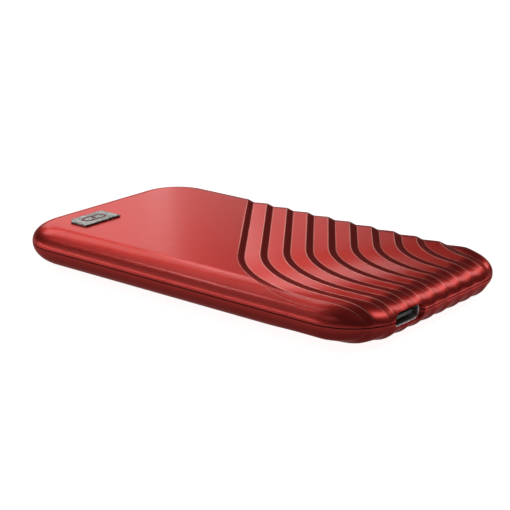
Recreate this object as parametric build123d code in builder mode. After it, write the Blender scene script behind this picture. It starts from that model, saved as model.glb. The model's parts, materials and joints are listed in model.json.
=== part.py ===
from build123d import *
import os
from math import radians, tan

os.makedirs("parts", exist_ok=True)

# ---- driving dimensions, mm ----
# housing: +X points to the port end, the underside lies on z = 0
length = 100.0
width = 55.0
height = 9.0
corner_radius = 12.2
seam_height = 5.07  # middle of the joint between the two shells
seam_gap = 0.24  # joint width, filled by the frame's lip
upper_edge = 6.1  # how far the elliptical edge rounding reaches in
lower_edge = 7.4
wall = 1.1

# ridges: each crest comes in from the +Y side, bends, then runs out over the port end
ridge_count = 11
ridge_angle = 52.7
ridge_pitch = 4.71  # crest to crest, across the stretch parallel to X
ridge_lead = 2.53  # how much further along X each bend lies
ridge_bend = 36.5  # bend radius of the first crest
ridge_bend_step = 1.85  # each next bend is this much tighter
ridge_setback = 33.9  # first bend's corner, from the port end
ridge_side = 1.5  # first crest, from the -Y side
groove_width = 2.2
groove_depth = 0.45
groove_stop = 0.4  # grooves end this far from the seam

# badge
badge_length = 6.3
badge_width = 11.0
badge_thickness = 0.35
badge_x = -37.7
badge_y = -12.6
badge_cut = 1.4  # cut corner
adhesive = 0.08
adhesive_inset = 0.1

# USB-C receptacle
port_y = -11.8
shell_width = 8.94
shell_height = 3.26
shell_wall = 0.3
shell_length = 7.5
port_recess = 1.0  # receptacle's mouth behind the end of the housing
port_clearance = 0.33
tongue_width = 6.69
tongue_thickness = 0.7
tongue_recess = 0.7
tongue_root = 2.0
midplate = 0.15
midplate_web = 0.4  # plastic left at the tip and the root
contact_pitch = 0.5
contact_width = 0.25
contact_length = 3.4
contact_thickness = 0.08
contacts_per_row = 12

# plastic mid-frame
frame_clearance = 0.15
frame_width = 3.2
frame_bottom = 1.3
frame_top = 7.0
lip_inset = 0.35  # the lip stays this far behind the housing's outline
lip_overlap = 0.5
rib_width = 2.5
rib_places = (20.6, 46.6)  # from the module's far end
boss_radius = 2.4
post_boss_radius = 3.6
frame_port_gap = 0.66  # beside the receptacle
frame_leg_gap = 0.6  # below the board, for the receptacle's legs

# bridge board and what is soldered to it
board_thickness = 1.0
board_clearance = 0.25
board_length = 16.8
screw_radius = 0.8
screw_head_radius = 1.6
screw_head = 0.7
screw_grip = 0.95  # how deep it goes in the frame
hole_clearance = 0.1
screw_setback = 2.7  # from the board's inner end
screw_y = 19.5
leg_length = 0.9
leg_drop = 0.3  # below the board
leg_places = (0.8, 2.9)  # from the receptacle's back
bridge_chip_size = (6.5, 6.5, 0.9)
bridge_chip_setback = 7.5
firmware_size = (5.0, 6.0, 1.6)
firmware_setback = 8.5
firmware_y = -14.5
converter_size = (2.6, 2.6, 0.9)
converter_setback = 2.8
converter_y = -14.4
converter_pitch = 3.4
inductor_size = (4.0, 4.0, 2.0)
inductor_corner = 0.5
inductor_pitch = 4.8
inductor_y = -0.6
crystal_size = (2.5, 3.2, 0.8)
crystal_y = 6.2
end_gap = 0.4  # from the board's port end
bridge_capacitor_size = (1.6, 0.8, 0.8)
bridge_capacitor_setback = 1.6
bridge_capacitor_pitch = 2.6
bridge_capacitor_count = 8
resistor_size = (1.0, 0.5, 0.35)
resistor_setback = 3.2
resistor_pitch = 1.5
resistor_count = 12

# storage module, M.2 2280: places along it are from its contact end
module_y = 2.0
module_length = 80.0
module_width = 22.0
module_thickness = 0.8
shoulder = 1.1  # the edge that goes in the connector is narrower by this on each side
notch_radius = 1.75
key_width = 1.2
key_depth = 3.5
key_offset = 6.125
finger_count = 38
finger_pitch = 0.5
finger_length = 2.5
finger_width = 0.35
finger_thickness = 0.04
finger_setback = 0.3
module_chip_height = 1.2
controller_size = (11.0, 11.0)
controller_setback = 17.4
nand_size = (14.0, 18.0)
nand_setbacks = (39.4, 59.4)
power_chip_size = (3.0, 3.0, 0.9)
power_chip_setback = 6.9
power_chip_offset = 5.0
module_capacitor_size = (1.0, 0.5, 0.5)
module_capacitor_setback = 27.8
module_capacitor_pitch = (2.0, 3.6)
module_capacitor_grid = (3, 5)

# edge connector
connector_setback = 4.5  # from the bridge board's inner end
connector_length = 7.0
connector_height = 3.2
slot_depth = 4.4
slot_clearance = 0.1
pin_height = 0.25
pin_width = 0.25
pin_gap = 0.02
pin_setback = 0.3

# module screw and its post
post_radius = 2.3
post_fit = 0.05
post_bottom = 1.75
post_screw_radius = 1.0
post_screw_head_radius = 2.2
post_screw_head = 0.6
post_screw_grip = 1.5

pad_gap = 0.02

# ---- levels and places that follow from them ----
top_base = seam_height + seam_gap / 2
bottom_base = seam_height - seam_gap / 2
ceiling = height - wall
port_end = length / 2
receptacle_front = port_end - port_recess
receptacle_back = receptacle_front - shell_length
tongue_tip = receptacle_front - tongue_recess
board_top = seam_height - shell_height / 2
board_bottom = board_top - board_thickness
frame_inner = wall + frame_clearance + frame_width
board_end = port_end - frame_inner - board_clearance
board_start = board_end - board_length
screw_x = board_start + screw_setback
bridge_chip_x = board_start + bridge_chip_setback
connector_start = board_start + connector_setback
connector_end = connector_start + connector_length
module_end = connector_start + slot_depth
module_start = module_end - module_length
controller_x = module_end - controller_setback
module_level = board_top + connector_height / 2  # middle of the module's board
module_top = module_level + module_thickness / 2
module_bottom = module_level - module_thickness / 2
support_top = module_bottom - board_clearance
chip_top = module_top + module_chip_height
key_y = module_y + key_offset
UP = (Align.CENTER, Align.CENTER, Align.MIN)
DOWN = (Align.CENTER, Align.CENTER, Align.MAX)


def outline(inset, mode=Mode.ADD):
    """Rounded rectangle of the housing's plan, moved in all round."""
    RectangleRounded(length - 2 * inset, width - 2 * inset, corner_radius - inset, mode=mode)


def dome(base, top, reach, inset):
    """Flat-topped solid on z = base whose edge is a quarter ellipse all round."""
    rise = top - base
    with BuildPart() as solid:
        with BuildSketch(Plane.XY.offset(base)) as core:
            outline(inset + reach)
        extrude(amount=rise)
        rim = core.sketch.face().outer_wire()
        outward = (rim % 0).cross(Vector(0, 0, 1))
        with BuildSketch(Plane(origin=rim @ 0, x_dir=outward, z_dir=-(rim % 0))):
            with BuildLine():
                Line((0, 0), (reach, 0))
                EllipticalCenterArc((0, 0), reach, rise, start_angle=0, arc_size=90)
                Line((0, rise), (0, 0))
            make_face()
        sweep(path=rim)
    return solid.part


def upper_half(base, inset, top):
    return dome(base, top, upper_edge, inset)


def lower_half(base, inset, bottom):
    """The dome turned over: it hangs from z = base down to z = bottom."""
    return mirror(dome(base, 2 * base - bottom, lower_edge, inset), about=Plane.XY.offset(base))


def ridge_path(number, shift):
    """Crest line of one ridge, moved over by shift towards the next one. Both its ends lie
    well past the housing, so that the bend fits on every line."""
    slope = radians(ridge_angle)
    corner_x = port_end - ridge_setback + number * ridge_lead + shift * tan(slope / 2)
    corner_y = -width / 2 + ridge_side + number * ridge_pitch + shift
    far_y = width / 2 + ridge_bend
    far_x = corner_x - (far_y - corner_y) / tan(slope)
    end = (port_end + ridge_bend, corner_y)
    bend = ridge_bend - number * ridge_bend_step - shift
    return FilletPolyline((far_x, far_y), (corner_x, corner_y), end, radius=bend)


def groove_bands(base, depth):
    """Prisms over the strip that lies beside each crest."""
    with BuildPart() as bands:
        with BuildSketch(Plane.XY.offset(base)):
            for number in range(ridge_count):
                with BuildLine():
                    crest = ridge_path(number, 0)
                    valley = ridge_path(number, groove_width)
                    Line(crest @ 0, valley @ 0)
                    Line(crest @ 1, valley @ 1)
                make_face()
        extrude(amount=depth)
    return bands.part


def port_hole(extra, start, end):
    """Stadium along X, round the receptacle, wider than it by extra on every side."""
    with BuildPart() as hole:
        with BuildSketch(Plane.YZ.offset(start)):
            with Locations((port_y, seam_height)):
                SlotOverall(shell_width + 2 * extra, shell_height + 2 * extra)
        extrude(amount=end - start)
    return hole.part


def blocks(places, size, level, align=UP):
    """Equal blocks that stand on, or hang from, one level."""
    for x, y in places:
        with Locations((x, y, level)):
            Box(*size, align=align)


def row(count, pitch, centre):
    return [centre + (number - (count - 1) / 2) * pitch for number in range(count)]


def leg_centres():
    """The receptacle's four solder legs, under its straight side walls."""
    reach = (shell_width - shell_wall) / 2
    return [(receptacle_back + x, port_y + side * reach) for x in leg_places for side in (-1, 1)]


def badge_outline(inset):
    """Rectangle with its outer near corner cut off."""
    with Locations((badge_x, badge_y)):
        plate = Rectangle(badge_length - 2 * inset, badge_width - 2 * inset)
    corner = plate.vertices().sort_by(Axis.X)[:2].sort_by(Axis.Y)[0]
    chamfer(corner, badge_cut)


def screw_centres():
    return [(screw_x, side * screw_y) for side in (-1, 1)]


def finger_row():
    """Contact places along the module's edge, without those at its key."""
    gap = (key_width + finger_width) / 2
    return [y for y in row(finger_count, finger_pitch, module_y) if abs(y - key_y) > gap]


# ---- housing ----
with BuildPart() as top_grooves:
    add(groove_bands(top_base + groove_stop, height))
    add(upper_half(top_base - groove_depth, 0, height - groove_depth), mode=Mode.SUBTRACT)

with BuildPart() as top_shell:
    add(upper_half(top_base, 0, height))
    add(upper_half(top_base, wall, ceiling), mode=Mode.SUBTRACT)
    add(top_grooves.part, mode=Mode.SUBTRACT)
    add(port_hole(port_clearance, port_end - upper_edge, port_end + wall), mode=Mode.SUBTRACT)
top_shell.part.label = "top_shell"
export_step(top_shell.part, "parts/top_shell.step")

with BuildPart() as bottom_grooves:
    add(groove_bands(bottom_base - groove_stop, -height))
    add(lower_half(bottom_base + groove_depth, 0, groove_depth), mode=Mode.SUBTRACT)

with BuildPart() as bottom_shell:
    add(lower_half(bottom_base, 0, 0))
    add(lower_half(bottom_base, wall, wall), mode=Mode.SUBTRACT)
    add(bottom_grooves.part, mode=Mode.SUBTRACT)
    add(port_hole(port_clearance, port_end - lower_edge, port_end + wall), mode=Mode.SUBTRACT)
bottom_shell.part.label = "bottom_shell"
export_step(bottom_shell.part, "parts/bottom_shell.step")

# ---- badge ----
with BuildPart() as badge_adhesive:
    with BuildSketch(Plane.XY.offset(height)):
        badge_outline(adhesive_inset)
    extrude(amount=adhesive)
badge_adhesive.part.label = "badge_adhesive"
export_step(badge_adhesive.part, "parts/badge_adhesive.step")

with BuildPart() as badge:
    with BuildSketch(Plane.XY.offset(height + adhesive)):
        badge_outline(0)
    extrude(amount=badge_thickness)
badge.part.label = "badge"
export_step(badge.part, "parts/badge.step")

# ---- mid-frame ----
with BuildPart() as frame_room:
    add(upper_half(seam_height, wall + frame_clearance, ceiling - frame_clearance))
    add(lower_half(seam_height, wall + frame_clearance, wall + frame_clearance))

with BuildPart() as inner_frame:
    with BuildSketch(Plane.XY.offset(frame_bottom)) as ring:
        outline(0)
        outline(frame_inner, mode=Mode.SUBTRACT)
    extrude(amount=frame_top - frame_bottom)
    with BuildSketch(Plane.XY.offset(frame_bottom)) as supports:
        with Locations(*[(module_start + x, 0) for x in rib_places]):
            Rectangle(rib_width, width)
        with Locations((module_start, module_y)):
            Circle(post_boss_radius)
            Rectangle(length, rib_width, align=(Align.MAX, Align.CENTER))  # joins the post to the frame
    extrude(amount=support_top - frame_bottom)
    with BuildSketch(Plane.XY.offset(frame_bottom)) as screw_bosses:
        for x, y in screw_centres():
            with Locations((x, y)):
                Circle(boss_radius)
            with Locations((x, (y + (width / 2 if y > 0 else -width / 2)) / 2)):
                Rectangle(2 * boss_radius, width / 2 - screw_y)
    extrude(amount=board_bottom - frame_bottom)
    # everything but the lip keeps clear of the shells
    add(frame_room.part, mode=Mode.INTERSECT)
    with BuildSketch(Plane.XY.offset(bottom_base)) as lip:
        outline(lip_inset)
        outline(wall + frame_clearance + lip_overlap, mode=Mode.SUBTRACT)
    extrude(amount=seam_gap)
    # bores for the post and the two board screws
    with Locations((module_start, module_y, post_bottom)):
        Cylinder(post_radius + post_fit, height, align=UP, mode=Mode.SUBTRACT)
    for x, y in screw_centres():
        with Locations((x, y, board_bottom - screw_grip)):
            Cylinder(screw_radius, height, align=UP, mode=Mode.SUBTRACT)
    # gap for the receptacle and its legs
    with Locations((port_end, port_y, board_bottom - frame_leg_gap)):
        Box(
            2 * (port_end - board_end + frame_width),
            shell_width + 2 * frame_port_gap,
            height,
            align=UP,
            mode=Mode.SUBTRACT,
        )
inner_frame.part.label = "inner_frame"
export_step(inner_frame.part, "parts/inner_frame.step")

# ---- bridge board ----
with BuildPart() as bridge_board:
    with BuildSketch(Plane.XY.offset(board_bottom)) as board_face:
        outline(frame_inner + board_clearance)
        with Locations((board_start, 0)):
            Rectangle(board_length, width, align=(Align.MIN, Align.CENTER), mode=Mode.INTERSECT)
        with Locations(*screw_centres()):
            Circle(screw_radius + hole_clearance, mode=Mode.SUBTRACT)
        with Locations(*leg_centres()):
            leg_hole = (leg_length + 2 * hole_clearance, shell_wall + 2 * hole_clearance)
            Rectangle(*leg_hole, mode=Mode.SUBTRACT)
    extrude(amount=board_thickness)
bridge_board.part.label = "bridge_board"
export_step(bridge_board.part, "parts/bridge_board.step")

with BuildPart() as bridge_chip:
    blocks([(bridge_chip_x, module_y)], bridge_chip_size, board_bottom, DOWN)
bridge_chip.part.label = "bridge_chip"
export_step(bridge_chip.part, "parts/bridge_chip.step")

with BuildPart() as bridge_pad:
    pad_level = board_bottom - bridge_chip_size[2]
    pad_size = (bridge_chip_size[0], bridge_chip_size[1], pad_level - wall - pad_gap)
    blocks([(bridge_chip_x, module_y)], pad_size, pad_level, DOWN)
bridge_pad.part.label = "bridge_pad"
export_step(bridge_pad.part, "parts/bridge_pad.step")

with BuildPart() as firmware_chip:
    blocks([(board_start + firmware_setback, firmware_y)], firmware_size, board_top)
firmware_chip.part.label = "firmware_chip"
export_step(firmware_chip.part, "parts/firmware_chip.step")

with BuildPart() as converter_chips:
    converter_x = board_start + converter_setback
    places = [(converter_x, y) for y in row(2, converter_pitch, converter_y)]
    blocks(places, converter_size, board_top)
converter_chips.part.label = "converter_chips"
export_step(converter_chips.part, "parts/converter_chips.step")

with BuildPart() as power_inductors:
    inductor_x = board_end - end_gap - inductor_size[0] / 2
    blocks([(inductor_x, y) for y in row(2, inductor_pitch, inductor_y)], inductor_size, board_top)
    fillet(power_inductors.edges().filter_by(Axis.Z), inductor_corner)
power_inductors.part.label = "power_inductors"
export_step(power_inductors.part, "parts/power_inductors.step")

with BuildPart() as bridge_crystal:
    blocks([(inductor_x, crystal_y)], crystal_size, board_top)
bridge_crystal.part.label = "bridge_crystal"
export_step(bridge_crystal.part, "parts/bridge_crystal.step")

with BuildPart() as bridge_capacitors:
    line = row(bridge_capacitor_count, bridge_capacitor_pitch, module_y)
    capacitor_x = board_start + bridge_capacitor_setback
    blocks([(capacitor_x, y) for y in line], bridge_capacitor_size, board_top)
bridge_capacitors.part.label = "bridge_capacitors"
export_step(bridge_capacitors.part, "parts/bridge_capacitors.step")

with BuildPart() as bridge_resistors:
    line = row(resistor_count, resistor_pitch, module_y)
    resistor_x = board_start + resistor_setback
    blocks([(resistor_x, y) for y in line], resistor_size, board_top)
bridge_resistors.part.label = "bridge_resistors"
export_step(bridge_resistors.part, "parts/bridge_resistors.step")

with BuildPart() as board_screws:
    for x, y in screw_centres():
        with Locations((x, y, board_bottom - screw_grip)):
            Cylinder(screw_radius, board_thickness + screw_grip, align=UP)
        with Locations((x, y, board_top)):
            Cylinder(screw_head_radius, screw_head, align=UP)
board_screws.part.label = "board_screws"
export_step(board_screws.part, "parts/board_screws.step")

# ---- USB-C receptacle ----
with BuildPart() as usb_c_shell:
    with BuildSketch(Plane.YZ.offset(receptacle_back)) as shell_section:
        with Locations((port_y, seam_height)):
            SlotOverall(shell_width, shell_height)
            inner_slot = (shell_width - 2 * shell_wall, shell_height - 2 * shell_wall)
            SlotOverall(*inner_slot, mode=Mode.SUBTRACT)
    extrude(amount=shell_length)
    leg_size = (leg_length, shell_wall, seam_height - board_bottom + leg_drop)
    blocks(leg_centres(), leg_size, seam_height, DOWN)
usb_c_shell.part.label = "usb_c_shell"
export_step(usb_c_shell.part, "parts/usb_c_shell.step")

plate_start = receptacle_back + midplate_web
plate_length = tongue_tip - midplate_web - plate_start

with BuildPart() as usb_c_midplate:
    with Locations((plate_start + plate_length / 2, port_y, seam_height)):
        Box(plate_length, tongue_width, midplate)
usb_c_midplate.part.label = "usb_c_midplate"
export_step(usb_c_midplate.part, "parts/usb_c_midplate.step")

with BuildPart() as usb_c_tongue:
    with BuildSketch(Plane.YZ.offset(receptacle_back)) as root_section:
        with Locations((port_y, seam_height)):
            SlotOverall(*inner_slot)
    extrude(amount=tongue_root)
    with Locations(((receptacle_back + tongue_tip) / 2, port_y, seam_height)):
        Box(tongue_tip - receptacle_back, tongue_width, tongue_thickness)
    add(usb_c_midplate.part, mode=Mode.SUBTRACT)
usb_c_tongue.part.label = "usb_c_tongue"
export_step(usb_c_tongue.part, "parts/usb_c_tongue.step")

with BuildPart() as usb_c_contacts:
    contact_x = tongue_tip - midplate_web - contact_length / 2
    contact_size = (contact_length, contact_width, contact_thickness)
    places = [(contact_x, y) for y in row(contacts_per_row, contact_pitch, port_y)]
    blocks(places, contact_size, seam_height + tongue_thickness / 2)
    blocks(places, contact_size, seam_height - tongue_thickness / 2, DOWN)
usb_c_contacts.part.label = "usb_c_contacts"
export_step(usb_c_contacts.part, "parts/usb_c_contacts.step")

# ---- edge connector ----
with BuildPart() as m2_connector:
    with Locations(((connector_start + connector_end) / 2, module_y, board_top)):
        Box(connector_length, module_width, connector_height, align=UP)
    contact_room = finger_thickness + pin_gap + pin_height
    slot_width = module_width - 2 * shoulder + 2 * slot_clearance
    with Locations((connector_start, module_y, module_level)):
        Box(
            2 * (slot_depth + slot_clearance),
            slot_width,
            module_thickness + 2 * contact_room,
            mode=Mode.SUBTRACT,
        )
    with Locations((module_end + slot_clearance, key_y, board_top)):
        key_size = (key_depth - slot_clearance, key_width - 2 * slot_clearance, connector_height)
        Box(*key_size, align=(Align.MAX, Align.CENTER, Align.MIN))
m2_connector.part.label = "m2_connector"
export_step(m2_connector.part, "parts/m2_connector.step")

with BuildPart() as m2_connector_pins:
    pin_length = slot_depth + slot_clearance - pin_setback
    pin_x = module_end + slot_clearance - pin_length / 2
    places = [(pin_x, y) for y in finger_row()]
    reach = module_thickness / 2 + finger_thickness + pin_gap
    blocks(places, (pin_length, pin_width, pin_height), module_level + reach)
    blocks(places, (pin_length, pin_width, pin_height), module_level - reach, DOWN)
m2_connector_pins.part.label = "m2_connector_pins"
export_step(m2_connector_pins.part, "parts/m2_connector_pins.step")

# ---- storage module ----
with BuildPart() as ssd_board:
    with BuildSketch(Plane.XY.offset(module_bottom)) as module_face:
        with Locations((module_start, module_y)):
            Rectangle(module_length, module_width, align=(Align.MIN, Align.CENTER))
            Circle(notch_radius, mode=Mode.SUBTRACT)
        for side in (-1, 1):
            with Locations((module_end, module_y + side * module_width / 2)):
                Rectangle(2 * slot_depth, 2 * shoulder, mode=Mode.SUBTRACT)
        with Locations((module_end, key_y)):
            Rectangle(2 * key_depth, key_width, mode=Mode.SUBTRACT)
    extrude(amount=module_thickness)
ssd_board.part.label = "ssd_board"
export_step(ssd_board.part, "parts/ssd_board.step")

with BuildPart() as ssd_edge_contacts:
    finger_x = module_end - finger_setback - finger_length / 2
    places = [(finger_x, y) for y in finger_row()]
    blocks(places, (finger_length, finger_width, finger_thickness), module_top)
    blocks(places, (finger_length, finger_width, finger_thickness), module_bottom, DOWN)
ssd_edge_contacts.part.label = "ssd_edge_contacts"
export_step(ssd_edge_contacts.part, "parts/ssd_edge_contacts.step")

with BuildPart() as ssd_controller:
    blocks([(controller_x, module_y)], (*controller_size, module_chip_height), module_top)
ssd_controller.part.label = "ssd_controller"
export_step(ssd_controller.part, "parts/ssd_controller.step")

with BuildPart() as nand_chips:
    nand_places = [(module_end - setback, module_y) for setback in nand_setbacks]
    blocks(nand_places, (*nand_size, module_chip_height), module_top)
nand_chips.part.label = "nand_chips"
export_step(nand_chips.part, "parts/nand_chips.step")

with BuildPart() as ssd_power_chip:
    power_chip_x = module_end - power_chip_setback
    blocks([(power_chip_x, module_y + power_chip_offset)], power_chip_size, module_top)
ssd_power_chip.part.label = "ssd_power_chip"
export_step(ssd_power_chip.part, "parts/ssd_power_chip.step")

with BuildPart() as ssd_capacitors:
    module_capacitor_x = module_end - module_capacitor_setback
    columns = row(module_capacitor_grid[0], module_capacitor_pitch[0], module_capacitor_x)
    lines = row(module_capacitor_grid[1], module_capacitor_pitch[1], module_y)
    blocks([(x, y) for x in columns for y in lines], module_capacitor_size, module_top)
ssd_capacitors.part.label = "ssd_capacitors"
export_step(ssd_capacitors.part, "parts/ssd_capacitors.step")

with BuildPart() as controller_pad:
    pad_start = module_end - max(nand_setbacks) - nand_size[0] / 2
    pad_end = controller_x + controller_size[0] / 2
    pad_size = (pad_end - pad_start, nand_size[1], ceiling - pad_gap - chip_top)
    blocks([((pad_start + pad_end) / 2, module_y)], pad_size, chip_top)
controller_pad.part.label = "controller_pad"
export_step(controller_pad.part, "parts/controller_pad.step")

# ---- module post and screw ----
with BuildPart() as m2_standoff:
    with Locations((module_start, module_y, post_bottom)):
        Cylinder(post_radius, module_bottom - post_bottom, align=UP)
    with Locations((module_start, module_y, module_bottom - post_screw_grip)):
        Cylinder(post_screw_radius, height, align=UP, mode=Mode.SUBTRACT)
m2_standoff.part.label = "m2_standoff"
export_step(m2_standoff.part, "parts/m2_standoff.step")

with BuildPart() as m2_screw:
    with Locations((module_start, module_y, module_bottom - post_screw_grip)):
        Cylinder(post_screw_radius, module_thickness + post_screw_grip, align=UP)
    with Locations((module_start, module_y, module_top)):
        Cylinder(post_screw_head_radius, post_screw_head, align=UP)
m2_screw.part.label = "m2_screw"
export_step(m2_screw.part, "parts/m2_screw.step")
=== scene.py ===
import json
import math

import bmesh
import bpy
import numpy as np
from mathutils import Matrix, Vector


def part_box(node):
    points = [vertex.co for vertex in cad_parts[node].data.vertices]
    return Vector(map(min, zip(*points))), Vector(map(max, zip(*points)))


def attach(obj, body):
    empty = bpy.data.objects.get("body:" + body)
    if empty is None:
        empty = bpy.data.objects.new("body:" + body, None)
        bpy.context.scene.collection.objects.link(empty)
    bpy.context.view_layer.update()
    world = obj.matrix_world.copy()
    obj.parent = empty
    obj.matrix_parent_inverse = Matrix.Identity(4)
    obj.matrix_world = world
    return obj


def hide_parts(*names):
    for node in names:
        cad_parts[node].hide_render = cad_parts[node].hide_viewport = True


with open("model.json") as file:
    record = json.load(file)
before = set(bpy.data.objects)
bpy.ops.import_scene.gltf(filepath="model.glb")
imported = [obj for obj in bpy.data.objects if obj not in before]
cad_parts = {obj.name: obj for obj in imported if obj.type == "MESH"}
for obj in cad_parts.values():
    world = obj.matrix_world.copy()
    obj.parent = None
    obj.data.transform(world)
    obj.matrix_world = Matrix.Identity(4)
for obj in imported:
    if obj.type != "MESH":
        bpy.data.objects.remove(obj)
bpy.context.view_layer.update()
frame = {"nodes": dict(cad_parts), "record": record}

MM = 0.001

# ---- the housing's shape, read from the frame or given here ----
top_low, top_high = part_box("top_shell")
bottom_low, bottom_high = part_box("bottom_shell")
HALF_LENGTH = top_high.x
HALF_WIDTH = top_high.y
TOP_BASE = top_low.z
TOP_RISE = top_high.z - top_low.z
BOTTOM_BASE = bottom_high.z
BOTTOM_RISE = bottom_high.z - bottom_low.z
SEAM = (TOP_BASE + BOTTOM_BASE) / 2
CORNER = 12.2 * MM
UPPER_EDGE = 6.1 * MM
LOWER_EDGE = 7.4 * MM
WALL = 1.1 * MM

# ---- ridges ----
RIDGES = 11
RIDGE_SLOPE = math.radians(52.7)
RIDGE_PITCH = 4.71 * MM
RIDGE_LEAD = 2.53 * MM
RIDGE_BEND = 36.5 * MM
RIDGE_BEND_STEP = 1.85 * MM
RIDGE_SETBACK = 33.9 * MM
RIDGE_SIDE = 1.5 * MM
RIDGE_DEPTH = 0.45 * MM
RIDGE_ROUND = 0.045  # half width of the crest's and valley's rounding, in pitches
PAINTED_LINE_END = 1.25  # the painted highlight lines beside crests and valleys end at this many half widths
VALLEY_HIGHLIGHT_SHARE = 0.6  # how strong the painted highlight along a valley is, next to a crest's
SEAM_FADE = 1.2 * MM  # the ridges run out over this height above the seam
WALL_SHARE_FAR = 0.29  # the steep face's share of the pitch at the far side
WALL_SHARE_END = 0.66  # and over the port end
WALL_SHARE_FROM = -0.1  # as runs from the start of the bend, in bend radii
WALL_SHARE_TO = 1.5
BEND_START_SHARE = -0.1  # the plain part's line to the first bend's start ends here, in half lengths

# ---- port ----
port_low, port_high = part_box("usb_c_shell")
SHELL_HALF_WIDTH = (port_high.y - port_low.y) / 2
PORT_Y = (port_high.y + port_low.y) / 2
SHELL_RADIUS = port_high.z - SEAM
SHELL_WALL = 0.3 * MM
PORT_GAP = 0.02 * MM
PORT_FLARE = 0.6  # how fast the opening widens past the receptacle's mouth
PORT_HOOD = 0.8  # height of the opening's upper half, next to the lower half's

# ---- badge ----
BADGE_CUT = 1.4 * MM  # cut corner
BADGE_EDGE = 0.12 * MM  # edge radius
MARK_RADIUS = 1.45 * MM
MARK_STRAIGHT = 1.9 * MM  # half the straight part
MARK_BAND = 0.5 * MM
MARK_DOT = 0.6 * MM
MARK_HEIGHT = 0.05 * MM

# ---- mesh resolution ----
COLUMNS = 240  # along each ridge
SMOOTH_ROWS = 80  # across the plain part of the shell
CLOSE_ROWS = (0, 0.002, 0.005)  # extra rows beside the first crest, as shares of the way out
INNER_ROWS = 8
CORNER_ROWS = 34  # from the last ridge to the far port corner
TABLE_ROWS = 201  # ridge lines worked out first, for the rows to be read from
CORNER_TABLE_ROWS = 60
RIDGE_STEPS = 1501  # along a line, before its points are spread evenly
PLAIN_STEPS = 1201
SLOT_POINTS = 96
MARK_POINTS = 64
RIM_POINTS = 7  # round the receptacle's mouth
BADGE_EDGE_POINTS = 5
ARC_STEPS = 2001  # round each corner of the outline
SIDE_STEPS = 501  # along each of its sides
MERGE = 1e-6  # points closer than this are one
SHARP_ANGLE = 35
BADGE_SHARP_ANGLE = 50

# ---- searches ----
SPAN_SEARCH = (-90, 90, 1801)  # first and last run tried, in mm, and how many
SPAN_HALVINGS = 50
CORNER_SEARCH = (-40, 60, 20001)
CORNER_HALVINGS = 40
CORNER_WITHIN = 6.0  # pitches past the last ridge, more than the far corner needs
WHOLE = 1e-9  # a ridge number this little below a whole one counts as whole

# ---- stage ----
LIGHT_DISTANCE = 1.0
FLOOR_SIZE = 3.0  # from its middle to each side
FLOOR_LEVEL = -0.02 * MM
CAMERA_AZIMUTH = 40.03
CAMERA_ELEVATION = 17.63
CAMERA_ROLL = -0.33
CAMERA_DISTANCE = 332.4 * MM
CAMERA_LENS = 105.45
CAMERA_TARGET = Vector((0, 0, 4.5 * MM))
CAMERA_SHIFT_RIGHT = 0.18 * MM
CAMERA_SHIFT_UP = 0.25 * MM


# ---------------------------------------------------------------- mesh helpers
def grid_faces(rows, columns, first=0):
    """Quads of a grid whose vertices are numbered row by row from first."""
    r, c = np.meshgrid(np.arange(rows - 1), np.arange(columns - 1), indexing="ij")
    a = (first + r * columns + c).ravel()
    return np.stack([a, a + 1, a + columns + 1, a + columns], 1)


def tube_faces(rings, count, closed=False):
    """Quads between rings of vertices that are numbered ring by ring. closed joins the last
    ring to the first."""
    index = np.arange(rings * count).reshape(rings, count)
    index = np.pad(index, ((0, int(closed)), (0, 1)), mode="wrap")
    faces = np.stack([index[:-1, :-1], index[:-1, 1:], index[1:, 1:], index[1:, :-1]], -1)
    return faces.reshape(-1, 4)


def stacked_rings(rings):
    """Points and faces of a solid: rings of points joined in turn, with its two ends closed."""
    layers, count = rings.shape[:2]
    last = (layers - 1) * count
    ends = [list(range(count)), list(range(last, last + count))]
    return rings.reshape(-1, 3), list(tube_faces(layers, count)) + ends


def mesh_piece(name, points, faces, sharp=SHARP_ANGLE, lines=None):
    """A mesh from point and face arrays, with doubles merged and normals turned outwards.
    lines, if given, are the strengths of the painted highlight beside crests and valleys, kept on
    the vertices as a point attribute for the housing's material."""
    mesh = bpy.data.meshes.new(name)
    mesh.from_pydata(np.asarray(points).tolist(), [], [list(map(int, face)) for face in faces])
    if lines is not None:
        values = mesh.attributes.new("painted_edge_highlight", "FLOAT", "POINT")
        values.data.foreach_set("value", lines.astype(np.float32))
    bm = bmesh.new()
    bm.from_mesh(mesh)
    bmesh.ops.remove_doubles(bm, verts=bm.verts, dist=MERGE)
    bmesh.ops.dissolve_degenerate(bm, edges=bm.edges, dist=MERGE / 10)
    bmesh.ops.recalc_face_normals(bm, faces=bm.faces)
    bm.to_mesh(mesh)
    bm.free()
    piece = bpy.data.objects.new(name, mesh)
    bpy.context.scene.collection.objects.link(piece)
    smooth(piece, sharp)
    return piece


def smooth(piece, sharp):
    """Smooth shading, with edges over the given angle kept sharp."""
    mesh = piece.data
    mesh.polygons.foreach_set("use_smooth", np.ones(len(mesh.polygons), bool))
    mesh.set_sharp_from_angle(angle=math.radians(sharp))
    mesh.update()


def applied(piece):
    """Bakes a piece's modifiers into its mesh."""
    bpy.context.view_layer.update()
    evaluated = piece.evaluated_get(bpy.context.evaluated_depsgraph_get())
    mesh = bpy.data.meshes.new_from_object(evaluated)
    piece.modifiers.clear()
    piece.data = mesh
    return piece


def swept_ring(path, normals, section):
    """A closed ring: each (outward, along x) point of the section is carried round the path."""
    section = np.asarray(section)
    points = path[None, :, :] + section[:, 0, None, None] * normals[None, :, :]
    points = points + section[:, 1, None, None] * np.array([1.0, 0.0, 0.0])
    return points.reshape(-1, 3), tube_faces(len(section), len(path), closed=True)


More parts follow.
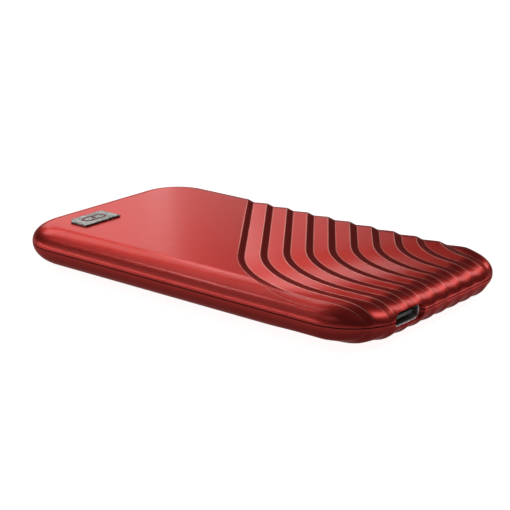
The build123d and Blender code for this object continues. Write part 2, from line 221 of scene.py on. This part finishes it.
# ---------------------------------------------------------------- the housing's surface
def inset_at(x, y):
    """How far a plan point lies inside the rounded rectangle: corner radius less the distance
    from the rectangle that joins the corners' centres."""
    qx = np.abs(x) - (HALF_LENGTH - CORNER)
    qy = np.abs(y) - (HALF_WIDTH - CORNER)
    beyond = np.hypot(np.maximum(qx, 0), np.maximum(qy, 0))
    return CORNER - beyond - np.minimum(np.maximum(qx, qy), 0)


def edge_height(inset, reach, rise):
    """Height over the seam: a quarter ellipse up to the reach, flat beyond it."""
    t = np.clip(1 - inset / reach, 0, 1)
    return rise * np.sqrt(1 - t * t)


def ridge_point(number, run):
    """Plan point on a ridge line: straight down to its bend, round an arc, then along +X.
    run is the distance from the start of the arc."""
    bend = RIDGE_BEND - number * RIDGE_BEND_STEP
    tangent = bend * math.tan(RIDGE_SLOPE / 2)
    corner_x = HALF_LENGTH - RIDGE_SETBACK + number * RIDGE_LEAD
    corner_y = -HALF_WIDTH + RIDGE_SIDE + number * RIDGE_PITCH
    s, c = math.sin(RIDGE_SLOPE), math.cos(RIDGE_SLOPE)
    centre_x = corner_x - tangent * c + bend * s
    centre_y = corner_y + tangent * s + bend * c
    heading = np.clip(run / bend, 0, RIDGE_SLOPE) - RIDGE_SLOPE
    before = np.minimum(run, 0)
    after = np.maximum(run - bend * RIDGE_SLOPE, 0)
    x = centre_x + bend * np.sin(heading) + before * c + after
    y = centre_y - bend * np.cos(heading) - before * s
    return x, y


def ridge_span(number):
    """First and last run at which each ridge line is inside the outline, by bisection."""
    number = np.asarray(number)[:, None]
    coarse = np.linspace(*SPAN_SEARCH)[None, :] * MM
    depth = inset_at(*ridge_point(number, coarse))
    middle = coarse[0, depth.argmax(1)]
    ends = []
    for outside in (coarse[0, 0], coarse[0, -1]):
        out = np.full(len(number), outside)
        inside = middle.copy()
        for _ in range(SPAN_HALVINGS):
            half = (out + inside) / 2
            is_in = inset_at(*ridge_point(number[:, 0], half)) > 0
            inside = np.where(is_in, half, inside)
            out = np.where(is_in, out, half)
        ends.append((out + inside) / 2)
    return ends[0], ends[1]


def last_number():
    """Ridge number at which a line just touches the far port corner, by bisection."""
    run = np.linspace(*CORNER_SEARCH) * MM
    low, high = RIDGES - 1.0, RIDGES + CORNER_WITHIN
    for _ in range(CORNER_HALVINGS):
        middle = (low + high) / 2
        reached = inset_at(*ridge_point(middle, run)).max() > 0
        low, high = (middle, high) if reached else (low, middle)
    return low


def even_fractions(x, y, height, wanted):
    """Indices, as fractions, at the wanted shares of each row's length over the surface."""
    step = np.sqrt(np.diff(x) ** 2 + np.diff(y) ** 2 + np.diff(height) ** 2)
    length = np.concatenate([np.zeros((len(x), 1)), np.cumsum(step, 1)], 1)
    place = np.arange(x.shape[1])
    return np.array([np.interp(wanted * row[-1], row, place) for row in length])


def ridge_runs(number, reach, rise):
    """For each ridge number, the runs of COLUMNS points evenly spaced over the surface."""
    start, end = ridge_span(number)
    samples = (1 - np.cos(np.linspace(0, math.pi, RIDGE_STEPS))) / 2
    run = start[:, None] + (end - start)[:, None] * samples[None, :]
    x, y = ridge_point(number[:, None], run)
    even = np.linspace(0, 1, COLUMNS)
    place = even_fractions(x, y, edge_height(inset_at(x, y), reach, rise), even)
    return np.array([np.interp(p, np.arange(len(samples)), r) for p, r in zip(place, run)])


def wall_share(number, run):
    """Share of the pitch that the steep face takes: it widens smoothly along the ridge."""
    turned = run / (RIDGE_BEND - number * RIDGE_BEND_STEP)
    t = np.clip((turned - WALL_SHARE_FROM) / (WALL_SHARE_TO - WALL_SHARE_FROM), 0, 1)
    return WALL_SHARE_FAR + (WALL_SHARE_END - WALL_SHARE_FAR) * t * t * (3 - 2 * t)


def pitch_samples():
    """Places across one pitch as a + b * wall share: close together at crest and valley."""
    e = RIDGE_ROUND
    crest = [(e * k, 0) for k in (0, 0.5, 1)]
    steep = [(e - 2 * e * k / 3, k / 3) for k in (1, 2)]
    valley = [(e * k, 1) for k in (-1, -0.5, 0, 0.5, 1)]
    beside = [(e * PAINTED_LINE_END, 1)]
    facet = [(e + (1 - 2 * e) * k / 5, 1 - k / 5) for k in (1, 2, 3, 4)]
    close = [(1 - e * PAINTED_LINE_END, 0), (1 - e, 0), (1 - e / 2, 0)]
    return np.array(crest + steep + valley + beside + facet + close)


def ridge_profile(number, share):
    """Depth below the plain surface, 0 to 1: down the steep face, up the facet, with both
    corners rounded by a parabola. The first crest's rounding lies wholly on its steep side."""
    e = RIDGE_ROUND
    whole = np.floor(number + WHOLE)
    f = number - whole
    first = whole < 0.5
    steep = np.where(first, (f - e) / (share - e), f / share)
    depth = np.clip(np.minimum(steep, (1 - f) / (1 - share)), 0, 1)
    turn = 1 / share + 1 / (1 - share)

    def rounding(distance):
        return np.maximum(e - np.abs(distance), 0) ** 2 / (4 * e)

    depth = depth - rounding(f - share) * turn
    depth = depth + np.where(first, rounding(f - e) / (share - e), rounding(f) * turn)
    depth = depth + rounding(1 - f) * turn
    return depth


def painted_edge_highlight(number, share):
    """How strongly a point of a facet is painted lighter as a highlight, beside a crest 1 to 0, or
    beside a valley the valley's share to 0.
    It is full from half a rounding away to a whole one, and fades on both sides."""
    f = number - np.floor(number + WHOLE)

    def light(distance):
        away = distance / RIDGE_ROUND
        return np.clip(np.minimum(2 * away, (PAINTED_LINE_END - away) / (PAINTED_LINE_END - 1)), 0, 1)

    return np.maximum(light(1 - f), VALLEY_HIGHLIGHT_SHARE * light(f - share))


def outline_loop():
    """Dense points round the rounded rectangle, anticlockwise from the middle of the port end,
    with the distance along it."""
    angle = np.linspace(0, math.pi / 2, ARC_STEPS)
    straight = np.linspace(0, 1, SIDE_STEPS)
    a, b = HALF_LENGTH - CORNER, HALF_WIDTH - CORNER
    corners = []
    for quarter, (cx, cy) in enumerate(((a, b), (-a, b), (-a, -b), (a, -b))):
        t = angle + quarter * math.pi / 2
        corners.append(np.stack([cx + CORNER * np.cos(t), cy + CORNER * np.sin(t)], 1))
    sides = []
    for here, there in zip(corners, corners[1:] + corners[:1]):
        sides.append(here)
        sides.append(here[-1] + straight[1:-1, None] * (there[0] - here[-1]))
    loop = np.concatenate(sides + [corners[0][:1]])
    distance = np.concatenate([[0], np.cumsum(np.hypot(*np.diff(loop, axis=0).T))])
    return loop, distance


def outward_at(x, y):
    """Plan direction away from the rectangle that joins the corners' centres."""
    qx = np.maximum(np.abs(x) - (HALF_LENGTH - CORNER), 0) * np.sign(x)
    qy = np.maximum(np.abs(y) - (HALF_WIDTH - CORNER), 0) * np.sign(y)
    size = np.hypot(qx, qy)
    return qx / size, qy / size


def ridged_part(n_last, reach, rise):
    """Rows of points from the first crest to the far port corner, the runs along the first
    crest, the painted highlight's strength beside crests and valleys, and how much it fades along
    that crest. The height is the plain edge's less the ridges' profile, which runs out at the seam
    and at the corner; the painted highlight fades with the square of the height."""
    past_last = n_last - (RIDGES - 1)

    def closing_in(count):
        """Ridge numbers past the last ridge, closer together towards the corner."""
        return n_last - past_last * np.linspace(1, 0, count)[:-1] ** 2

    whole = np.linspace(0, RIDGES - 1, TABLE_ROWS)[:-1]
    table = np.concatenate([whole, closing_in(CORNER_TABLE_ROWS)])
    runs = ridge_runs(table, reach, rise)

    def runs_at(number):
        """Runs for one number per column, read from the table."""
        place = np.interp(number, table, np.arange(len(table)))
        low = np.minimum(np.floor(place).astype(int), len(table) - 2)
        t = place - low
        column = np.arange(COLUMNS)[None, :]
        return runs[low, column] * (1 - t) + runs[low + 1, column] * t

    samples = pitch_samples()
    share_guess = wall_share(0.0, runs[0])[None, :]
    rows = []
    for pitch in range(RIDGES - 1):
        # the share depends on the run, and the run a little on the number, so take it twice
        number = pitch + samples[:, :1] + samples[:, 1:] * share_guess
        share = wall_share(number, runs_at(number))
        rows.append(pitch + samples[:, :1] + samples[:, 1:] * share)
    rows.append(np.repeat(closing_in(CORNER_ROWS)[:, None], COLUMNS, 1))
    number = np.concatenate(rows)
    run = runs_at(number)
    x, y = ridge_point(number, run)
    share = wall_share(number, run)
    plain_height = edge_height(inset_at(x, y), reach, rise)
    fade = np.clip(plain_height / SEAM_FADE, 0, 1)
    fade = fade * fade * (3 - 2 * fade)
    ending = np.clip((n_last - number) / past_last, 0, 1)
    height = plain_height - RIDGE_DEPTH * ridge_profile(number, share) * fade * ending
    height[:, [0, -1]] = 0
    # painted highlight along crests and valleys, fading towards the seam with the square of the
    # height
    highlight_fade = (plain_height / rise) ** 2
    lines = painted_edge_highlight(number, share) * (number < RIDGES - 1 + RIDGE_ROUND) * highlight_fade
    return np.stack([x, y, height], -1), runs[0], lines, highlight_fade[0]


def plain_part(crest, crest_runs, reach, rise):
    """The plain outside: straight lines in plan from the first crest to the outline, with
    their points at even distances over the surface."""
    loop, distance = outline_loop()

    def along(x, y):
        """Distance along the outline to its point nearest to x, y."""
        return distance[np.hypot(loop[:, 0] - x, loop[:, 1] - y).argmin()]

    arc = RIDGE_BEND * RIDGE_SLOPE
    arc_end_x = ridge_point(0.0, np.array(arc))[0]
    keys_run = [crest_runs[0], 0.0, arc, crest_runs[-1]]
    keys_way = [
        along(*crest[0, :2]),
        along(BEND_START_SHARE * HALF_LENGTH, -HALF_WIDTH),
        along(arc_end_x, -HALF_WIDTH),
        along(*crest[-1, :2]),
    ]
    way = np.interp(crest_runs, keys_run, keys_way)
    edge = np.stack([np.interp(way, distance, loop[:, k]) for k in (0, 1)], -1)
    edge[0], edge[-1] = crest[0, :2], crest[-1, :2]
    q = 1 - (1 - np.linspace(0, 1, PLAIN_STEPS)) ** 2
    x = crest[:, None, 0] * (1 - q) + edge[:, None, 0] * q
    y = crest[:, None, 1] * (1 - q) + edge[:, None, 1] * q
    shares = np.concatenate([CLOSE_ROWS, np.linspace(0, 1, SMOOTH_ROWS)[1:]])
    place = even_fractions(x, y, edge_height(inset_at(x, y), reach, rise), shares)
    q_at = np.interp(place, np.arange(len(q)), q).T[:, :, None]
    plan = crest[None, :, :2] * (1 - q_at) + edge[None] * q_at
    height = edge_height(inset_at(plan[..., 0], plan[..., 1]), reach, rise)
    height[-1] = 0
    height[:, [0, -1]] = 0
    plain = np.concatenate([plan, height[..., None]], -1)
    plain[0] = crest
    return plain


def inner_part(ring, reach, rise):
    """The seam's face and the inside, from the ring of outline points: in by the wall, then
    in and up along a quarter ellipse to the ceiling. Each row ends with its first point."""
    outward = np.stack(outward_at(ring[:, 0], ring[:, 1]), -1)
    phi = np.linspace(0, math.pi / 2, INNER_ROWS)
    in_by = WALL + reach * (1 - np.cos(phi))
    up_by = (rise - WALL) * np.sin(phi)
    inner = np.repeat(ring[None], INNER_ROWS, 0)
    inner[..., :2] -= in_by[:, None, None] * outward[None]
    inner[..., 2] = up_by[:, None]
    rows = np.concatenate([ring[None], inner])
    return np.concatenate([rows, rows[:, :1]], 1)


def shell_surface(reach, rise):
    """One shell as heights over its seam plane: the ridged outside, closed to a point at the
    far port corner, the plain outside, the seam's face, the inside and its flat ceiling."""
    n_last = last_number()
    ridged, crest_runs, lines, crest_highlight_fade = ridged_part(n_last, reach, rise)
    plain = plain_part(ridged[0], crest_runs, reach, rise)

    pole_run = np.array(ridge_span(np.array([n_last]))).mean(0)
    pole_x, pole_y = ridge_point(n_last, pole_run)
    pole = np.array([[pole_x[0], pole_y[0], 0.0]])
    ring = np.concatenate([plain[-1], ridged[1:, -1], pole, ridged[:0:-1, 0]])
    inner = inner_part(ring, reach, rise)

    blocks = (np.concatenate([ridged, np.repeat(pole[None], COLUMNS, 1)]), plain, inner)
    faces, first = [], 0
    for block in blocks:
        faces.extend(grid_faces(block.shape[0], block.shape[1], first))
        first += block.shape[0] * block.shape[1]
    ceiling = list(range(first - inner.shape[1], first - 1))
    points = np.concatenate([block.reshape(-1, 3) for block in blocks])

    # the first crest's painted highlight lies beside it, on the plain part's close rows
    values = np.zeros(len(points))
    values[:lines.size] = lines.ravel()
    plain_start = lines.size + COLUMNS
    values[plain_start:plain_start + 2 * COLUMNS] = np.tile(crest_highlight_fade, 2)
    return points, faces + [ceiling], values


def slot_path(half_width, radius):
    """Points and outward normals round a stadium in the YZ plane, centred on the port."""
    flat = half_width - radius
    t = np.linspace(0, 2 * math.pi, SLOT_POINTS, endpoint=False) + math.pi / SLOT_POINTS
    zeros = np.zeros(SLOT_POINTS)
    normal = np.stack([zeros, np.cos(t), np.sin(t)], 1)
    centre = np.stack([zeros, PORT_Y + flat * np.sign(np.cos(t)), zeros + SEAM], 1)
    return centre + radius * normal, normal


def port_cutter():
    """A stadium prism through the housing's end wall, wider than the receptacle all round.
    Past the receptacle's mouth it widens evenly, which leaves a chamfer round the opening.
    Its upper half is flatter, so that the housing comes down over the receptacle's rim."""
    beyond = HALF_LENGTH + WALL
    flare = PORT_FLARE * (beyond - port_high.x)
    rings = []
    for x, extra in (
        (HALF_LENGTH - UPPER_EDGE, PORT_GAP),
        (port_high.x, PORT_GAP),
        (beyond, PORT_GAP + flare),
    ):
        path, _ = slot_path(SHELL_HALF_WIDTH + extra, SHELL_RADIUS + extra)
        path[:, 2] -= np.maximum(path[:, 2] - SEAM, 0) * (1 - PORT_HOOD)
        rings.append(path + np.array([x, 0, 0]))
    return mesh_piece("port_cutter", *stacked_rings(np.array(rings)))


def housing_shell(name, node, base, upwards, reach, rise, cutter):
    """A shell as a closed solid, standing up from its base or turned over with upwards -1,
    and with the port cut through its end."""
    points, faces, lines = shell_surface(reach, rise)
    points = points * np.array([1, 1, upwards]) + np.array([0, 0, base])
    piece = mesh_piece(name, points, faces, lines=lines)
    cut = piece.modifiers.new("port", "BOOLEAN")
    cut.operation = "DIFFERENCE"
    cut.solver = "EXACT"
    cut.object = cutter
    applied(piece)
    smooth(piece, SHARP_ANGLE)
    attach(piece, "root")
    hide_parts(node)
    finish_in(piece, "housing_metal")


# ---------------------------------------------------------------- materials
GLOSS_RANGE = 0.06  # how far the grain takes a finish's roughness up and down
COLOUR_A, COLOUR_B, MIXED_COLOUR = 6, 7, 2  # a Mix node's colour inputs and output


def material(name, colour, metallic, roughness):
    """A Principled material with its fixed values on the shader's own sockets."""
    made = bpy.data.materials.new(name)
    made.use_nodes = True
    shader = made.node_tree.nodes["Principled BSDF"]
    shader.inputs["Base Color"].default_value = (*colour, 1)
    shader.inputs["Metallic"].default_value = metallic
    shader.inputs["Roughness"].default_value = roughness
    return made, made.node_tree, shader


def noise(tree, scale, detail=2.0):
    """Noise over object coordinates; scale is cells per metre."""
    place = tree.nodes.new("ShaderNodeTexCoord")
    pattern = tree.nodes.new("ShaderNodeTexNoise")
    pattern.inputs["Scale"].default_value = scale
    pattern.inputs["Detail"].default_value = detail
    pattern.inputs["Roughness"].default_value = 0.5
    tree.links.new(place.outputs["Object"], pattern.inputs["Vector"])
    return pattern.outputs["Fac"]


def ramp(tree, value, stops):
    """A colour ramp over a value; stops are (place, colour)."""
    node = tree.nodes.new("ShaderNodeValToRGB")
    elements = node.color_ramp.elements
    while len(elements) < len(stops):
        elements.new(0.5)
    for element, (place, colour) in zip(elements, stops):
        element.position = place
        element.color = (*colour, 1)
    tree.links.new(value, node.inputs["Fac"])
    return node.outputs["Color"]


def spread(tree, value, low, high):
    """Maps a 0 to 1 value to low to high."""
    node = tree.nodes.new("ShaderNodeMapRange")
    node.inputs["To Min"].default_value = low
    node.inputs["To Max"].default_value = high
    tree.links.new(value, node.inputs["Value"])
    return node.outputs["Result"]


def bump(tree, shader, value, distance):
    """Bump from a value, with its height in metres."""
    node = tree.nodes.new("ShaderNodeBump")
    node.inputs["Distance"].default_value = distance
    node.inputs["Strength"].default_value = 1.0
    tree.links.new(value, node.inputs["Height"])
    tree.links.new(node.outputs["Normal"], shader.inputs["Normal"])


def grained(name, dark, light, metallic, roughness, grains, depth):
    """A material whose colour and height carry a fine grain, and its gloss a coarser one."""
    made, tree, shader = material(name, light, metallic, roughness)
    grain = noise(tree, grains)
    tree.links.new(ramp(tree, grain, [(0.35, dark), (0.65, light)]), shader.inputs["Base Color"])
    gloss = spread(tree, noise(tree, grains / 4), roughness - GLOSS_RANGE, roughness + GLOSS_RANGE)
    tree.links.new(gloss, shader.inputs["Roughness"])
    bump(tree, shader, grain, depth * MM)
    return made


def housing_metal():
    """Blasted aluminium, anodised red: a broad red gloss with a tighter, clear one over it,
    a fine grain, faint cloudiness in the dye, and beside each crest and valley a painted
    highlight, a lighter colour, where the metal is also made duller."""
    made, tree, shader = material("housing_metal", (0.58, 0.046, 0.039), 1.0, 0.39)
    cloud = noise(tree, 220, detail=3)
    dye = ramp(tree, cloud, [(0.3, (0.57, 0.043, 0.036)), (0.7, (0.60, 0.050, 0.043))])
    line = tree.nodes.new("ShaderNodeAttribute")
    line.attribute_name = "painted_edge_highlight"
    highlighted = tree.nodes.new("ShaderNodeMix")
    highlighted.data_type = "RGBA"
    # painted highlight: the dye is lightened towards this pale pink along crests and valleys
    highlighted.inputs[COLOUR_B].default_value = (1.0, 0.50, 0.43, 1)
    tree.links.new(line.outputs["Fac"], highlighted.inputs["Factor"])
    tree.links.new(dye, highlighted.inputs[COLOUR_A])
    tree.links.new(highlighted.outputs[MIXED_COLOUR], shader.inputs["Base Color"])

    grain = noise(tree, 9000)
    duller = tree.nodes.new("ShaderNodeMath")
    duller.operation = "MULTIPLY_ADD"
    duller.inputs[1].default_value = 0.14
    tree.links.new(line.outputs["Fac"], duller.inputs[0])
    tree.links.new(spread(tree, grain, 0.36, 0.42), duller.inputs[2])
    tree.links.new(duller.outputs["Value"], shader.inputs["Roughness"])
    bump(tree, shader, grain, 0.0016 * MM)

    shader.inputs["Specular Tint"].default_value = (1, 0.45, 0.43, 1)
    shader.inputs["Coat Weight"].default_value = 0.34
    shader.inputs["Coat Roughness"].default_value = 0.16
    shader.inputs["Coat IOR"].default_value = 1.5
    return made


GRAINED_FINISHES = (
    # name, dark colour, light colour, metallic, roughness, grains per metre, grain depth in mm
    ("badge_metal", (0.08, 0.08, 0.075), (0.60, 0.60, 0.56), 1.0, 0.42, 2600, 0.02),
    ("badge_mark", (0.10, 0.012, 0.012), (0.30, 0.04, 0.04), 0.6, 0.5, 2600, 0.01),
    ("adhesive", (0.02, 0.02, 0.02), (0.04, 0.04, 0.04), 0.0, 0.8, 2000, 0.01),
    ("frame_plastic", (0.008, 0.006, 0.006), (0.02, 0.014, 0.014), 0.0, 0.6, 2500, 0.01),
    ("circuit_board", (0.01, 0.05, 0.03), (0.02, 0.10, 0.06), 0.0, 0.35, 900, 0.01),
    ("chip_resin", (0.015, 0.015, 0.016), (0.035, 0.035, 0.037), 0.0, 0.55, 5000, 0.006),
    ("inductor_ferrite", (0.08, 0.08, 0.085), (0.18, 0.18, 0.19), 0.1, 0.6, 4000, 0.02),
    ("can_steel", (0.5, 0.5, 0.48), (0.68, 0.68, 0.66), 1.0, 0.3, 3000, 0.004),
    ("capacitor_ceramic", (0.28, 0.19, 0.12), (0.48, 0.36, 0.24), 0.0, 0.5, 4000, 0.006),
    ("resistor_ceramic", (0.02, 0.02, 0.02), (0.05, 0.05, 0.05), 0.0, 0.5, 4000, 0.006),
    ("screw_steel", (0.22, 0.22, 0.23), (0.40, 0.40, 0.41), 1.0, 0.35, 3000, 0.006),
    ("post_brass", (0.55, 0.38, 0.15), (0.76, 0.56, 0.26), 1.0, 0.3, 3000, 0.004),
    ("connector_plastic", (0.02, 0.02, 0.02), (0.05, 0.05, 0.05), 0.0, 0.5, 3000, 0.006),
    ("contact_gold", (0.70, 0.48, 0.16), (0.90, 0.66, 0.28), 1.0, 0.25, 6000, 0.002),
    ("receptacle_steel", (0.82, 0.82, 0.84), (0.94, 0.94, 0.96), 1.0, 0.34, 1800, 0.003),
    ("tongue_plastic", (0.012, 0.012, 0.012), (0.03, 0.03, 0.03), 0.0, 0.4, 3000, 0.004),
    ("thermal_silicone", (0.30, 0.34, 0.38), (0.44, 0.48, 0.52), 0.0, 0.75, 1500, 0.02),
)
MATERIALS = {"housing_metal": housing_metal()}
for finish in GRAINED_FINISHES:
    MATERIALS[finish[0]] = grained(*finish)


def finish_in(piece, name):
    """Gives a piece one finish."""
    piece.data.materials.clear()
    piece.data.materials.append(MATERIALS[name])


def finish_cad_nodes():
    """Every CAD node that is shown takes its slot's material."""
    for row in frame["record"]["subparts"]:
        node = frame["nodes"][row["node"]]
        finish_in(node, row["material_slot"])


# ---------------------------------------------------------------- pieces
def usb_c_receptacle():
    """The receptacle's drawn steel shell: a stadium ring whose mouth is rolled round."""
    path, normal = slot_path(SHELL_HALF_WIDTH, SHELL_RADIUS)
    back, mouth = port_low.x, port_high.x
    lip = SHELL_WALL / 2
    t = np.linspace(math.pi / 2, -math.pi / 2, RIM_POINTS)
    rim = np.stack([-lip + lip * np.sin(t), mouth - lip + lip * np.cos(t)], 1)
    section = np.concatenate([[(0, back)], rim, [(-SHELL_WALL, back)]])
    points, faces = swept_ring(path, normal, section)
    piece = mesh_piece("usb_c_shell_drawn", points, faces)
    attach(piece, "root")
    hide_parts("usb_c_shell")
    finish_in(piece, "receptacle_steel")


def badge_plate():
    """The badge: its outline carried up over a small rounded edge to a flat face."""
    low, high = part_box("badge")
    corners = np.array([
        (low.x + BADGE_CUT, low.y),
        (high.x, low.y),
        (high.x, high.y),
        (low.x, high.y),
        (low.x, low.y + BADGE_CUT),
    ])
    following = np.roll(corners, -1, 0)
    way = (following - corners) / np.linalg.norm(following - corners, axis=1)[:, None]
    out = np.stack([way[:, 1], -way[:, 0]], 1)  # outward of each side
    before = np.roll(out, 1, 0)
    miter = (out + before) / (1 + (out * before).sum(1))[:, None]
    t = np.linspace(0, math.pi / 2, BADGE_EDGE_POINTS)
    inset = np.concatenate([[0], BADGE_EDGE * (1 - np.cos(t))])
    level = np.concatenate([[low.z], high.z - BADGE_EDGE + BADGE_EDGE * np.sin(t)])
    plan = corners[None] - inset[:, None, None] * miter[None]
    heights = np.broadcast_to(level[:, None, None], (len(level), len(corners), 1))
    rings = np.concatenate([plan, heights], -1)
    piece = mesh_piece("badge_plate", *stacked_rings(rings), sharp=BADGE_SHARP_ANGLE)
    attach(piece, "root")
    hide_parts("badge")
    finish_in(piece, "badge_metal")


def badge_mark():
    """A plain mark on the badge: a stadium ring with a dot in it, each a low prism."""
    low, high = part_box("badge")
    centre = (low + high) / 2
    t = np.linspace(0, 2 * math.pi, MARK_POINTS + 1)[:-1] + math.pi / MARK_POINTS
    turn = np.stack([np.cos(t), np.sin(t)], 1)
    longways = MARK_STRAIGHT * np.stack([np.zeros(MARK_POINTS), np.sign(np.sin(t))], 1)
    outlines = (
        (longways + MARK_RADIUS * turn, 0),
        (longways + MARK_RADIUS * turn, MARK_HEIGHT),
        (longways + (MARK_RADIUS - MARK_BAND) * turn, MARK_HEIGHT),
        (longways + (MARK_RADIUS - MARK_BAND) * turn, 0),
    )
    dot = ((MARK_DOT * turn, 0), (MARK_DOT * turn, MARK_HEIGHT))
    rings = [np.column_stack([xy, np.full(MARK_POINTS, z)]) for xy, z in outlines + dot]
    points = np.concatenate(rings) + np.array([centre.x, centre.y, high.z])
    index = np.arange(len(rings) * MARK_POINTS).reshape(len(rings), MARK_POINTS)
    index = np.pad(index, ((0, 0), (0, 1)), mode="wrap")
    faces = []
    for here, there in ((0, 1), (1, 2), (2, 3), (3, 0), (4, 5)):
        a, b = index[here], index[there]
        faces.extend(np.stack([a[:-1], a[1:], b[1:], b[:-1]], -1))
    faces.extend([list(index[4, :-1]), list(index[5, :-1])])
    piece = mesh_piece("badge_mark", points, faces)
    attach(piece, "root")
    finish_in(piece, "badge_mark")


finish_cad_nodes()
cutter = port_cutter()
housing_shell("top_shell_ridged", "top_shell", TOP_BASE, 1, UPPER_EDGE, TOP_RISE, cutter)
housing_shell(
    "bottom_shell_ridged", "bottom_shell", BOTTOM_BASE, -1, LOWER_EDGE, BOTTOM_RISE, cutter
)
bpy.data.objects.remove(cutter)
usb_c_receptacle()
badge_plate()
badge_mark()


# ---------------------------------------------------------------- stage
def floor():
    """A plain pale floor that glows a little, and isn't mirrored in the drive. It lies a hair
    lower than the drive's flat underside."""
    corners = ((-1, -1), (1, -1), (1, 1), (-1, 1))
    points = [(FLOOR_SIZE * x, FLOOR_SIZE * y, FLOOR_LEVEL) for x, y in corners]
    mesh = bpy.data.meshes.new("floor")
    mesh.from_pydata(points, [], [(0, 1, 2, 3)])
    piece = bpy.data.objects.new("floor", mesh)
    bpy.context.scene.collection.objects.link(piece)
    piece.visible_glossy = False
    piece.visible_diffuse = False
    piece.visible_shadow = False
    made, tree, shader = material("floor_paper", (0.6, 0.6, 0.6), 0.0, 0.9)
    grain = ramp(tree, noise(tree, 40), [(0.3, (0.59, 0.59, 0.59)), (0.7, (0.61, 0.61, 0.61))])
    tree.links.new(grain, shader.inputs["Base Color"])
    shader.inputs["Emission Color"].default_value = (1, 1, 1, 1)
    shader.inputs["Emission Strength"].default_value = 0.93
    mesh.materials.append(made)


def direction(azimuth, elevation):
    """Unit vector: azimuth anticlockwise from +Y, elevation above the horizon, in degrees."""
    a, e = math.radians(azimuth), math.radians(elevation)
    return Vector((-math.sin(a) * math.cos(e), math.cos(a) * math.cos(e), math.sin(e)))


def softbox(name, azimuth, elevation, size, brightness):
    """A rectangular light that faces the drive. Its power is its area times its brightness,
    so that a larger one looks no dimmer when mirrored."""
    data = bpy.data.lights.new(name, "AREA")
    data.shape = "RECTANGLE"
    data.size, data.size_y = size
    data.energy = brightness * math.pi * size[0] * size[1]
    lamp = bpy.data.objects.new(name, data)
    lamp.location = direction(azimuth, elevation) * LIGHT_DISTANCE
    lamp.rotation_mode = "QUATERNION"
    lamp.rotation_quaternion = direction(azimuth, elevation).to_track_quat("Z", "Y")
    bpy.context.scene.collection.objects.link(lamp)


def surroundings(straight_down, below, above, backdrop):
    """A studio that is grey below the horizon, darker straight down, and dark above it, where
    most of the softboxes are. The camera itself sees an even, pale backdrop."""
    world = bpy.data.worlds.new("studio")
    bpy.context.scene.world = world
    world.use_nodes = True
    tree = world.node_tree
    tree.nodes["Background"].inputs["Color"].default_value = (1, 1, 1, 1)
    place = tree.nodes.new("ShaderNodeTexCoord")
    split = tree.nodes.new("ShaderNodeSeparateXYZ")
    level = tree.nodes.new("ShaderNodeMapRange")
    level.inputs["From Min"].default_value = -0.9
    level.inputs["From Max"].default_value = -0.1
    level.inputs["To Min"].default_value = straight_down
    level.inputs["To Max"].default_value = below
    sky = tree.nodes.new("ShaderNodeMath")
    sky.operation = "GREATER_THAN"
    sky.inputs[1].default_value = 0
    shade = tree.nodes.new("ShaderNodeMix")
    shade.inputs["B"].default_value = above
    tree.links.new(place.outputs["Generated"], split.inputs["Vector"])
    tree.links.new(split.outputs["Z"], level.inputs["Value"])
    tree.links.new(split.outputs["Z"], sky.inputs[0])
    tree.links.new(sky.outputs["Value"], shade.inputs["Factor"])
    tree.links.new(level.outputs["Result"], shade.inputs["A"])
    seen = tree.nodes.new("ShaderNodeLightPath")
    either = tree.nodes.new("ShaderNodeMix")
    either.inputs["B"].default_value = backdrop
    tree.links.new(seen.outputs["Is Camera Ray"], either.inputs["Factor"])
    tree.links.new(shade.outputs["Result"], either.inputs["A"])
    tree.links.new(either.outputs["Result"], tree.nodes["Background"].inputs["Strength"])


def camera():
    """Camera in front of the near port corner, looking down a little."""
    azimuth = math.radians(CAMERA_AZIMUTH)
    elevation = math.radians(CAMERA_ELEVATION)
    roll = math.radians(CAMERA_ROLL)
    back = Vector((
        math.sin(azimuth) * math.cos(elevation),
        -math.cos(azimuth) * math.cos(elevation),
        math.sin(elevation),
    ))
    right = Vector((math.cos(azimuth), math.sin(azimuth), 0))
    up = back.cross(right)
    turned_right = right * math.cos(roll) + up * math.sin(roll)
    turned_up = up * math.cos(roll) - right * math.sin(roll)
    data = bpy.data.cameras.new("camera")
    data.sensor_width = 36
    data.lens = CAMERA_LENS
    data.clip_start, data.clip_end = 0.01, 10
    made = bpy.data.objects.new("camera", data)
    turn = Matrix((turned_right, turned_up, back)).transposed().to_4x4()
    target = CAMERA_TARGET + turned_right * CAMERA_SHIFT_RIGHT + turned_up * CAMERA_SHIFT_UP
    made.matrix_world = Matrix.Translation(target + back * CAMERA_DISTANCE) @ turn
    bpy.context.scene.collection.objects.link(made)
    bpy.context.scene.camera = made


floor()
surroundings(0.14, 0.42, 0.06, 1.0)
for lamp in (
    # name, azimuth, elevation, (width, height), brightness
    ("back_wall", 41, 12, (0.16, 0.18), 0.9),
    ("back_wall_high", 44, 30, (0.17, 0.14), 2.9),
    ("left_wall", 54, 15, (0.33, 0.28), 1.4),
    ("back_wall_upper", 55, 36, (0.24, 0.24), 1.9),
    ("left_wall_upper", 73, 34, (0.28, 0.26), 2.4),
    ("left_shoulder", 80, 55, (0.45, 0.28), 0.9),
    ("near_highlight", 112, 48, (0.12, 0.10), 8.0),
    ("port_end", -8, 26, (0.26, 0.26), 2.6),
    ("port_shoulder", -30, 50, (0.25, 0.25), 2.6),
    ("port_side", -50, 49, (0.34, 0.29), 2.4),
    ("port_low", -40, -17, (0.16, 0.12), 5.0),
    ("near_side", 135, 31, (0.25, 0.60), 0.45),
    ("low_side", 132, 5, (1.00, 0.12), 2.8),
    ("rear", 170, 45, (0.40, 0.32), 0.5),
):
    softbox(*lamp)
camera()
bpy.context.scene.view_settings.view_transform = "Standard"
